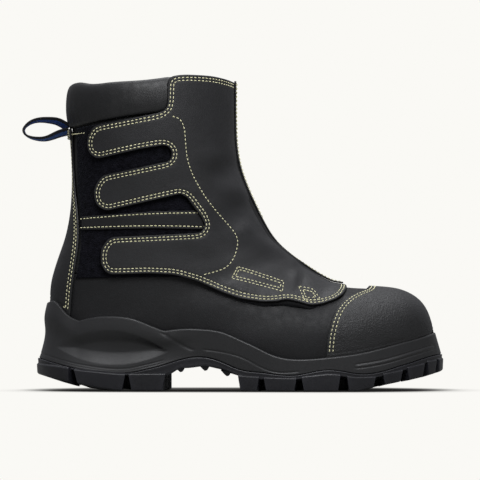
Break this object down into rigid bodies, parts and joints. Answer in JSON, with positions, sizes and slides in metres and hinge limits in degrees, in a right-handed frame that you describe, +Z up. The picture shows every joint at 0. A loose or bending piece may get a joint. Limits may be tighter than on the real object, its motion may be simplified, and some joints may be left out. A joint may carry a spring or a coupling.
{
  "type": "fire boot",
  "caption": "Pull-on leather fire boot for the right foot with a quick-release front flap, hook-and-loop fingers, toe bumper and lugged rubber sole.",
  "frame": {"origin": "centre of the bounding box on the ground plane, under the lowest tread blocks", "axes": "+X towards the toe, +Y towards the inner (medial) side, +Z up"},
  "size_m": [0.3277, 0.1154, 0.2445],
  "materials": {
    "oiled_leather": "oiled full-grain, satin",
    "collar_leather": "soft leather, satin",
    "pebbled_leather": "coated and finely pebbled, matte",
    "loop_pile": "loop side of hook-and-loop, matte",
    "hook_tape": "hook side of hook-and-loop, matte",
    "edge_tape": "folded strip, satin",
    "midsole_rubber": "moulded, satin",
    "outsole_rubber": "moulded nitrile rubber, satin",
    "spacer_fabric": "spacer mesh, matte",
    "padding_foam": "open-cell foam",
    "bright_steel": "pressed steel",
    "guard_plastic": "moulded",
    "felt_padding": "needled felt, matte",
    "fibre_board": "woven penetration-resistant board",
    "footbed_foam": "foam with a fabric top",
    "loop_webbing": "woven tape, black with a blue stripe"
  },
  "bodies": {
    "boot": {"outsole": "outsole_rubber", "midsole": "midsole_rubber", "insole_board": "fibre_board", "steel_shank": "bright_steel", "footbed": "footbed_foam", "lining": "spacer_fabric", "steel_toe_cap": "bright_steel", "heel_counter": "fibre_board", "vamp": "oiled_leather", "quarter_lateral": "oiled_leather", "quarter_medial": "oiled_leather", "toe_bumper": "pebbled_leather", "back_stay": "collar_leather", "collar": "collar_leather", "collar_foam": "padding_foam", "tongue": "collar_leather", "loop_panel": "loop_pile", "quarter_strap": "oiled_leather", "metatarsal_guard": "guard_plastic", "front_panel_medial": "oiled_leather", "front_seam_strip": "edge_tape", "pull_loop_anchor": "loop_webbing"},
    "flap": {"flap": "oiled_leather", "flap_edge_pad": "felt_padding"},
    "finger_upper": {"finger_upper": "oiled_leather", "hook_tape_upper": "hook_tape"},
    "finger_middle": {"finger_middle": "oiled_leather", "hook_tape_middle": "hook_tape"},
    "finger_lower": {"finger_lower": "oiled_leather", "hook_tape_lower": "hook_tape"},
    "pull_loop": {"pull_loop": "loop_webbing"}
  },
  "joints": [
    {"name": "flap_open", "type": "hinge", "parent": "boot", "child": "flap", "pos_m": [0.00191, -0.001, 0.24252], "axis": [-0.4903, -0.0148, 0.8715], "range_deg": [0, 100]},
    {"name": "finger_upper_peel", "type": "hinge", "parent": "flap", "child": "finger_upper", "pos_m": [-0.05034, -0.0571, 0.21714], "axis": [0.0008, -0.0867, 0.9962], "range_deg": [0, 60]},
    {"name": "finger_middle_peel", "type": "hinge", "parent": "flap", "child": "finger_middle", "pos_m": [-0.04734, -0.05299, 0.17847], "axis": [-0.2551, -0.137, 0.9572], "range_deg": [0, 60]},
    {"name": "finger_lower_peel", "type": "hinge", "parent": "flap", "child": "finger_lower", "pos_m": [-0.02838, -0.04561, 0.12257], "axis": [-0.04, 0.0016, 0.9992], "range_deg": [0, 60]},
    {"name": "pull_loop_swing", "type": "hinge", "parent": "boot", "child": "pull_loop", "pos_m": [-0.1294, -0.00105, 0.2029], "axis": [0, 1, 0], "range_deg": [-30, 35], "stiffness_Nm_per_rad": 0.02}
  ]
}
